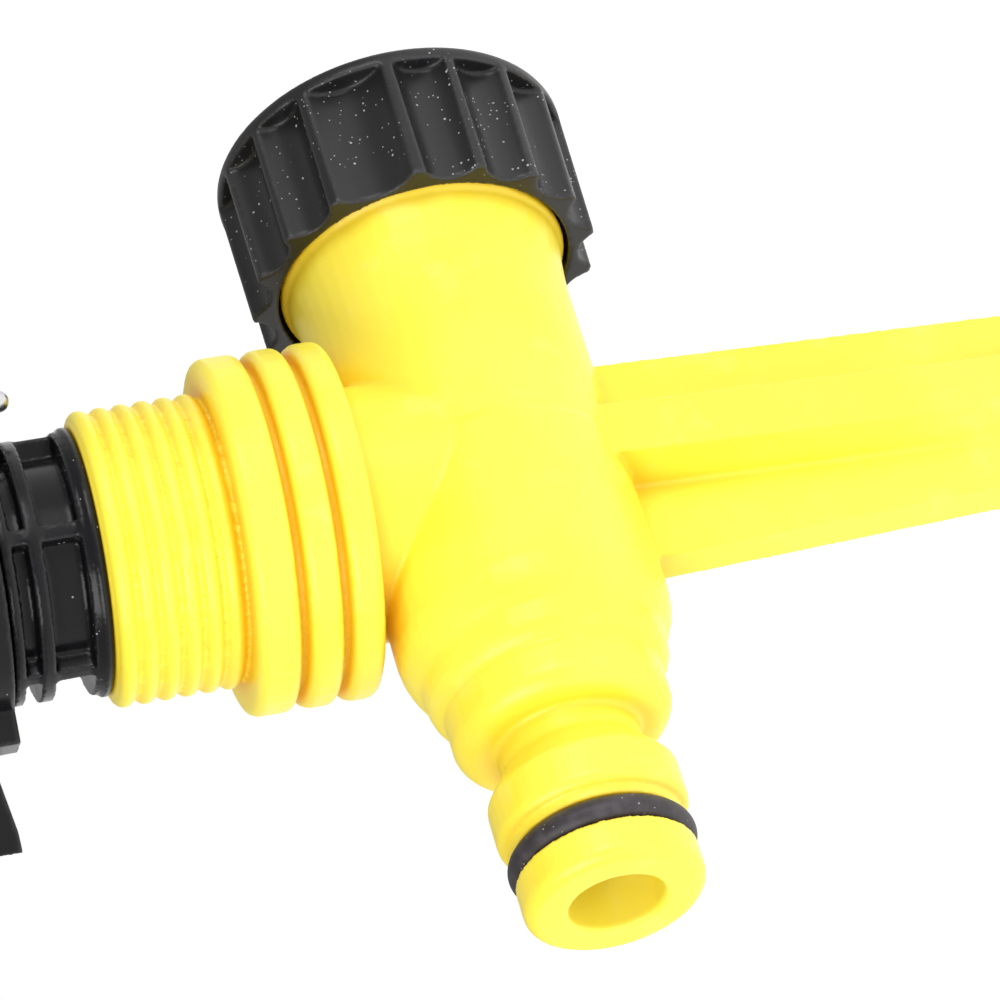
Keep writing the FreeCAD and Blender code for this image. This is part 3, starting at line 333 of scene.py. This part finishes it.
@dataclass(frozen=True)
class BlackMoulding:
    """Charcoal plastic with a sheen on its ridges, partly a painted highlight in its colour, and fine
    white dust in its hollows.
    """

    name: str = "charcoal_plastic"
    flat: Colour = (0.011, 0.011, 0.012)
    # ridge colour: a painted highlight, lighter grey on the ridges and sharp edges
    ridge_highlight: Colour = (0.04, 0.04, 0.043)
    dust: Colour = (0.5, 0.5, 0.51)
    gloss: float = 0.34
    dust_share: float = 0.16
    edge_round: float = 0.25 * MM
    sheen: float = 0.42

    def material(self) -> bpy.types.Material:
        """Build the material."""
        graph = Graph(self.name)
        where = graph.place()
        cloud = graph.noise(where, 0.22, 4.0)
        patches = graph.noise(where, 0.19, 3.0).step(0.44, 0.6)
        # painted highlight: sharp outer edges are coloured a lighter grey
        worn_and_highlight = graph.edges(0.503, 0.54)
        body = graph.mix(worn_and_highlight * 0.8, self.flat, self.ridge_highlight)
        large = graph.specks(where, 1.3, 0.12, self.dust_share * 1.3) * (patches > 0.3)
        small = graph.specks(where, 2.2, 0.17, self.dust_share * 2.2) * (patches > 0.15)
        specks = graph.maths("MAXIMUM", large * 0.75, small * 0.6)
        colour = graph.mix(specks, body, self.dust)
        grain = graph.noise(where, 5.0, 3.0)
        roughness = cloud * 0.24 + specks * 0.3 + (self.gloss - 0.12)
        height = cloud * 0.5 + grain * 0.35 + specks * 0.8
        normal = graph.bump(height, 0.2, 0.1 * MM, graph.rounded(self.edge_round))
        return graph.finish(colour, roughness, normal, {"IOR": 1.47, "Specular IOR Level": self.sheen})


@dataclass(frozen=True)
class Rubber:
    """Grey-black rubber with a violet tinge and specks of lint."""

    name: str = "seal_rubber"
    flat: Colour = (0.022, 0.017, 0.021)
    worn_and_highlight: Colour = (0.048, 0.04, 0.046)
    lint: Colour = (0.5, 0.48, 0.46)

    def material(self) -> bpy.types.Material:
        """Build the material."""
        graph = Graph(self.name)
        where = graph.place()
        cloud = graph.noise(where, 0.7, 4.0)
        body = graph.mix(cloud.step(0.35, 0.7), self.flat, self.worn_and_highlight)
        lint = graph.specks(where, 3.2, 0.16, 0.1)
        colour = graph.mix(lint * 0.7, body, self.lint)
        roughness = cloud * 0.25 + 0.42
        normal = graph.bump(graph.noise(where, 6.0, 3.0) * 0.5 + lint * 0.6, 0.25, 0.08 * MM)
        return graph.finish(colour, roughness, normal, {"IOR": 1.52})


@dataclass(frozen=True)
class DrawnSteel:
    """Bright steel with drawing marks along it and faint tarnish."""

    name: str = "drawn_steel"
    bright: Colour = (0.62, 0.62, 0.63)
    dull: Colour = (0.36, 0.35, 0.34)

    def material(self) -> bpy.types.Material:
        """Build the material."""
        graph = Graph(self.name)
        where = graph.place()
        tarnish = graph.noise(where, 0.5, 4.0).step(0.45, 0.75)
        marks = graph.noise(graph.place((1.0, 1.0, 0.08)), 7.0, 3.0)
        colour = graph.mix(tarnish * 0.6, self.bright, self.dull)
        roughness = marks * 0.2 + tarnish * 0.15 + 0.16
        normal = graph.bump(marks, 0.15, 0.03 * MM, graph.rounded(0.15 * MM))
        return graph.finish(colour, roughness, normal, {"Metallic": 1.0, "Anisotropic": 0.3})


@dataclass(frozen=True)
class Nylon:
    """Milky white nylon, with painted shade in its corners."""

    name: str = "white_nylon_finish"
    lit: Colour = (0.82, 0.82, 0.78)
    # aged tone: both random ageing and the painted shade of the corners
    aged_and_shaded: Colour = (0.66, 0.64, 0.55)

    def material(self) -> bpy.types.Material:
        """Build the material."""
        graph = Graph(self.name)
        where = graph.place()
        cloud = graph.noise(where, 0.4, 3.0)
        # painted shade: ambient occlusion turns the corners towards the darker aged tone
        corner_shade_mask = 1.0 - graph.shade(2.0 * MM).step(0.2, 0.9)
        colour = graph.mix(cloud.step(0.4, 0.7) * 0.4 + corner_shade_mask * 0.4, self.lit, self.aged_and_shaded)
        normal = graph.bump(graph.noise(where, 3.0, 2.0), 0.15, 0.05 * MM, graph.rounded(0.2 * MM))
        return graph.finish(colour, cloud * 0.2 + 0.3, normal, {
            "IOR": 1.53, "Subsurface Weight": 0.2, "Subsurface Radius": (1.0, 0.95, 0.8),
            "Subsurface Scale": 1.5 * MM})


class Finishes:
    """One material for each finish, made once."""

    def __init__(self) -> None:
        """Build every finish."""
        # the glossy black's ridge colour is its painted highlight on ridges and edges
        glossy = BlackMoulding("glossy_black_plastic", flat=(0.006, 0.006, 0.007),
                               ridge_highlight=(0.03, 0.03, 0.033), gloss=0.2, dust_share=0.03,
                               edge_round=0.2 * MM, sheen=0.25)
        makers = {
            Finish.LEMON: YellowMoulding(),
            Finish.CHARCOAL: BlackMoulding(),
            Finish.GLOSSY_BLACK: glossy,
            Finish.RUBBER: Rubber(),
            Finish.NYLON: Nylon(),
            Finish.STEEL: DrawnSteel(),
        }
        self.materials = {finish: maker.material() for finish, maker in makers.items()}

    def dress(self, piece: bpy.types.Object, finish: Finish) -> None:
        """Give a piece its material."""
        piece.data.materials.clear()
        piece.data.materials.append(self.materials[finish])


# ------------------------------------------------------------------------ mesh helpers

def add_object(name: str, mesh: bpy.types.Mesh) -> bpy.types.Object:
    """Put a mesh into the scene as an object."""
    made = bpy.data.objects.new(name, mesh)
    bpy.context.scene.collection.objects.link(made)
    return made


def shade_smooth(mesh: bpy.types.Mesh) -> None:
    """Shade a mesh smoothly all over."""
    mesh.polygons.foreach_set("use_smooth", [True] * len(mesh.polygons))
    mesh.update()


def lathe(name: str, profile: Iterable[tuple[float, float]], along: Vector, start: Vector,
          steps: int = 96) -> bpy.types.Object:
    """A closed turned shape.

    Args:
        name: The piece's name.
        profile: Points of (distance along the axis, radius), from axis to axis, in metres.
        along: The axis' direction.
        start: The point that distances along the axis are counted from.
        steps: Faces around the axis.

    Returns:
        The new object.
    """
    points = list(profile)
    turn = along.to_track_quat("Z", "Y").to_matrix()
    work = bmesh.new()
    rings = []
    for height, radius in points:
        count = 1 if radius < 1e-9 else steps
        ring = []
        for number in range(count):
            angle = 2 * math.pi * number / steps
            spot = Vector((radius * math.cos(angle), radius * math.sin(angle), height))
            ring.append(work.verts.new(start + turn @ spot))
        rings.append(ring)
    for low, high in zip(rings, rings[1:]):
        for number in range(steps):
            after = (number + 1) % steps
            corners = [low[number % len(low)], low[after % len(low)],
                       high[after % len(high)], high[number % len(high)]]
            face = list(dict.fromkeys(corners))
            if len(face) > 2:
                work.faces.new(face)
    bmesh.ops.recalc_face_normals(work, faces=work.faces)
    mesh = bpy.data.meshes.new(name)
    work.to_mesh(mesh)
    work.free()
    shade_smooth(mesh)
    return add_object(name, mesh)


@dataclass
class Moulding:
    """A CAD node remade as a moulded skin, with the soft corners that a mould leaves.

    Attributes:
        node: The CAD node that it stands for.
        body: The CAD body that it rides on.
        finish: The finish that it is given.
        grain: The skin's mesh size, in metres.
        passes: How often the skin is smoothed.
    """

    node: str
    body: str
    finish: Finish
    grain: float
    passes: int = 2

    def build(self, finishes: Finishes) -> bpy.types.Object:
        """Make the skin, hide the CAD node and dress the piece.

        Args:
            finishes: The materials.

        Returns:
            The finished piece.
        """
        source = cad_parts[self.node]
        piece = add_object(f"{self.node}_skin", source.data.copy())
        piece.data.transform(GRID_TURN)
        skin = piece.modifiers.new("skin", "REMESH")
        skin.mode = "VOXEL"
        skin.voxel_size = self.grain
        soften = piece.modifiers.new("soften", "SMOOTH")
        soften.factor = 0.5
        soften.iterations = self.passes
        settled = piece.evaluated_get(bpy.context.evaluated_depsgraph_get())
        mesh = bpy.data.meshes.new_from_object(settled)
        piece.modifiers.clear()
        mesh.transform(GRID_TURN.inverted())
        piece.data = mesh
        shade_smooth(mesh)
        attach(piece, self.body)
        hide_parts(self.node)
        self.finish.slot.value
        finishes.dress(piece, self.finish)
        log.info("%s: %d faces for %s", piece.name, len(mesh.polygons), self.node)
        return piece


@dataclass
class KeptNodes:
    """CAD nodes whose shape is right as it is and that only need their finish."""

    finish: Finish
    nodes: tuple[str, ...]

    def build(self, finishes: Finishes) -> None:
        """Dress each node."""
        for name in self.nodes:
            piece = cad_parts[name]
            finishes.dress(piece, self.finish)
            log.info("%s: CAD shape, dressed", name)


# ------------------------------------------------------------------------ sub-assemblies

@dataclass
class Body:
    """The yellow moulding with its nipple, stub and spike, and the ring seal on the nipple."""

    grain: float = 0.19 * MM
    passes: int = 4

    def build(self, finishes: Finishes) -> None:
        """Make the body's pieces."""
        Moulding("spike_body", "base", Finish.LEMON, self.grain, self.passes).build(finishes)
        KeptNodes(Finish.RUBBER, ("inlet_oring", "sleeve_oring")).build(finishes)


@dataclass
class ScrewCap:
    """The fluted cap, its seal and the moulded rings on its end."""

    grain: float = 0.2 * MM
    passes: int = 4
    ring_radii: tuple[float, ...] = (12.6 * MM, 6.0 * MM)
    ring_height: float = 0.3 * MM
    ring_width: float = 0.8 * MM
    gate_radius: float = 1.4 * MM

    def build(self, finishes: Finishes) -> None:
        """Make the cap's pieces."""
        Moulding("end_cap", "cap", Finish.CHARCOAL, self.grain, self.passes).build(finishes)
        KeptNodes(Finish.RUBBER, ("cap_washer",)).build(finishes)
        self.build_end_rings(finishes)

    def build_end_rings(self, finishes: Finishes) -> None:
        """The low rings and the gate mark on the cap's closed end."""
        low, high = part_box("end_cap")
        middle = (low + high) / 2
        start = Vector((low.x + 0.1 * MM, middle.y, middle.z))
        half = self.ring_width / 2
        for number, radius in enumerate(self.ring_radii):
            profile = [
                (0.0, radius - half),
                (self.ring_height * 0.8, radius - half * 0.8),
                (self.ring_height, radius - half * 0.3),
                (self.ring_height, radius + half * 0.3),
                (self.ring_height * 0.8, radius + half * 0.8),
                (0.0, radius + half),
                (0.0, radius - half),
            ]
            self.place(lathe(f"cap_end_ring_{number}", profile, Vector((-1, 0, 0)), start), finishes)
        gate = [(0.0, 0.0), (0.0, self.gate_radius), (self.ring_height, self.gate_radius * 0.85),
                (self.ring_height * 1.4, self.gate_radius * 0.5), (self.ring_height * 1.5, 0.0)]
        self.place(lathe("cap_gate_mark", gate, Vector((-1, 0, 0)), start, 32), finishes)

    def place(self, piece: bpy.types.Object, finishes: Finishes) -> None:
        """Put a small piece on the cap."""
        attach(piece, "cap")
        Finish.CHARCOAL.slot.value
        finishes.dress(piece, Finish.CHARCOAL)
        log.info("%s: on the cap", piece.name)


@dataclass
class Bearing:
    """The ribbed sleeve, its washers and spring, and the two stop collars around it."""

    grain: float = 0.2 * MM

    def build(self, finishes: Finishes) -> None:
        """Make the bearing's pieces."""
        Moulding("bearing_sleeve", "base", Finish.GLOSSY_BLACK, self.grain, 3).build(finishes)
        Moulding("sector_collar_lower", "lower_collar", Finish.GLOSSY_BLACK, self.grain, 3).build(finishes)
        Moulding("sector_collar_upper", "upper_collar", Finish.GLOSSY_BLACK, self.grain, 3).build(finishes)
        KeptNodes(Finish.RUBBER, ("seal_washer",)).build(finishes)
        KeptNodes(Finish.NYLON, ("thrust_washer", "snap_ring")).build(finishes)
        KeptNodes(Finish.STEEL, ("bearing_spring",)).build(finishes)


@dataclass
class Head:
    """The turning head: its black frame and what is fixed in it."""

    grain: float = 0.3 * MM

    def build(self, finishes: Finishes) -> None:
        """Make the head's pieces."""
        Moulding("head_body", "head", Finish.CHARCOAL, self.grain, 4).build(finishes)
        Moulding("sand_guard", "head", Finish.CHARCOAL, self.grain, 3).build(finishes)
        Moulding("spring_cap", "head", Finish.CHARCOAL, self.grain, 3).build(finishes)
        Moulding("nozzle_tip", "head", Finish.LEMON, 0.2 * MM, 3).build(finishes)
        Moulding("rear_plug", "head", Finish.LEMON, 0.2 * MM, 3).build(finishes)
        KeptNodes(Finish.NYLON, ("stream_straightener",)).build(finishes)
        KeptNodes(Finish.STEEL, ("flap_pin", "pivot_pin", "trip_pin", "arm_spring")).build(finishes)


@dataclass
class JetFittings:
    """What shapes the jet: the flap and the diffuser screw with its ring."""

    grain: float = 0.2 * MM

    def build(self, finishes: Finishes) -> None:
        """Make the fittings."""
        Moulding("deflector_flap", "flap", Finish.LEMON, self.grain, 3).build(finishes)
        Moulding("diffuser_screw", "diffuser", Finish.LEMON, 0.15 * MM, 2).build(finishes)
        KeptNodes(Finish.RUBBER, ("diffuser_oring",)).build(finishes)


@dataclass
class Hammer:
    """The swinging arm with its bush and steel slug."""

    grain: float = 0.3 * MM

    def build(self, finishes: Finishes) -> None:
        """Make the arm's pieces."""
        Moulding("hammer_arm", "hammer", Finish.LEMON, self.grain, 4).build(finishes)
        KeptNodes(Finish.NYLON, ("arm_bush",)).build(finishes)
        KeptNodes(Finish.STEEL, ("arm_weight",)).build(finishes)


@dataclass
class TripGear:
    """The trip lever and its hanging wire."""

    def build(self, finishes: Finishes) -> None:
        """Make the trip gear's pieces."""
        Moulding("trip_lever", "trip", Finish.CHARCOAL, 0.2 * MM, 3).build(finishes)
        KeptNodes(Finish.STEEL, ("wire_pin", "trip_wire")).build(finishes)


# ------------------------------------------------------------------------------ studio

@dataclass(frozen=True)
class SoftLight:
    """A square soft light, placed along the camera's own axes.

    Attributes:
        name: The light's name.
        right: How far it stands along the camera's right, in metres.
        up: How far it stands along the camera's up.
        back: How far it stands towards the camera.
        size: The length of its side.
        power: Its power in watts.
    """

    name: str
    right: float
    up: float
    back: float
    size: float
    power: float


@dataclass
class Studio:
    """The pale floor, the soft lights and the camera, which is rolled so that the riser points left."""

    lens: float = 197.0
    sensor: float = 36.0
    camera_place: Triple = (264.2 * MM, 386.7 * MM, 96.1 * MM)
    camera_right: Triple = (0.24758, 0.07296, -0.96612)
    camera_up: Triple = (-0.79663, 0.58287, -0.16013)
    floor_reach: float = 9.0
    floor_gap: float = 0.2 * MM
    floor_glow: float = 0.55
    ambient: float = 0.48
    lights: tuple[SoftLight, ...] = (
        SoftLight("key", -0.2, 0.75, 0.7, 0.5, 4.0),
        SoftLight("fill", -0.25, -0.5, 0.8, 0.6, 6.2),
        SoftLight("rim", 0.9, 0.4, 0.1, 0.5, 4.6),
    )

    def build(self) -> None:
        """Make the whole studio."""
        self.build_floor()
        self.build_world()
        self.build_lights()
        self.build_camera()
        bpy.context.scene.view_settings.view_transform = "Standard"
        bpy.context.scene.view_settings.look = "None"

    def build_floor(self) -> None:
        """A wide pale floor under the spike's point."""
        mesh = bpy.data.meshes.new("floor")
        reach = self.floor_reach
        level = CAD_BOX[0].z - self.floor_gap
        corners = [(-reach, -reach, level), (reach, -reach, level),
                   (reach, reach, level), (-reach, reach, level)]
        mesh.from_pydata(corners, [], [(0, 1, 2, 3)])
        floor = add_object("floor", mesh)
        graph = Graph("pale_floor")
        tone = graph.noise(graph.place(), 0.004, 2.0)
        colour = graph.mix(tone, (0.93, 0.93, 0.93), (0.95, 0.95, 0.95))
        normal = graph.bump(tone, 0.02, 0.1 * MM)
        mesh.materials.append(graph.finish(colour, 0.7, normal, {
            "Specular IOR Level": 0.1, "Emission Color": WHITE,
            "Emission Strength": self.floor_glow}))

    def build_world(self) -> None:
        """White surroundings: bright behind the object, softer as a light."""
        world = bpy.data.worlds.new("white_room")
        world.use_nodes = True
        bpy.context.scene.world = world
        nodes, links = world.node_tree.nodes, world.node_tree.links
        background = nodes["Background"]
        background.inputs["Color"].default_value = WHITE
        seen = nodes.new("ShaderNodeMapRange")
        seen.inputs["To Min"].default_value = self.ambient
        seen.inputs["To Max"].default_value = 1.0
        links.new(nodes.new("ShaderNodeLightPath").outputs["Is Camera Ray"], seen.inputs["Value"])
        links.new(seen.outputs["Result"], background.inputs["Strength"])

    def build_lights(self) -> None:
        """The key, fill and rim lights, which all face the origin."""
        right, up = Vector(self.camera_right), Vector(self.camera_up)
        back = right.cross(up)
        for light in self.lights:
            data = bpy.data.lights.new(light.name, "AREA")
            data.size = light.size
            data.energy = light.power
            lamp = bpy.data.objects.new(light.name, data)
            bpy.context.scene.collection.objects.link(lamp)
            lamp.location = back * light.back + up * light.up + right * light.right
            lamp.rotation_mode = "QUATERNION"
            lamp.rotation_quaternion = (-lamp.location).to_track_quat("-Z", "Y")

    def build_camera(self) -> None:
        """The camera."""
        right, up = Vector(self.camera_right), Vector(self.camera_up)
        back = right.cross(up).normalized()
        up = back.cross(right).normalized()
        data = bpy.data.cameras.new("camera")
        data.lens = self.lens
        data.sensor_width = self.sensor
        camera = bpy.data.objects.new("camera", data)
        bpy.context.scene.collection.objects.link(camera)
        turn = Matrix((right, up, back)).transposed().to_4x4()
        camera.matrix_world = Matrix.Translation(Vector(self.camera_place)) @ turn
        bpy.context.scene.camera = camera


def main() -> None:
    """Build the sprinkler's looks and the studio."""
    logging.basicConfig(level=logging.INFO, format="%(message)s")
    finishes = Finishes()
    for assembly in (Body(), ScrewCap(), Bearing(), Head(), JetFittings(), Hammer(), TripGear()):
        log.info("building %s", type(assembly).__name__)
        assembly.build(finishes)
    Studio().build()


if __name__ == "__main__":
    main()
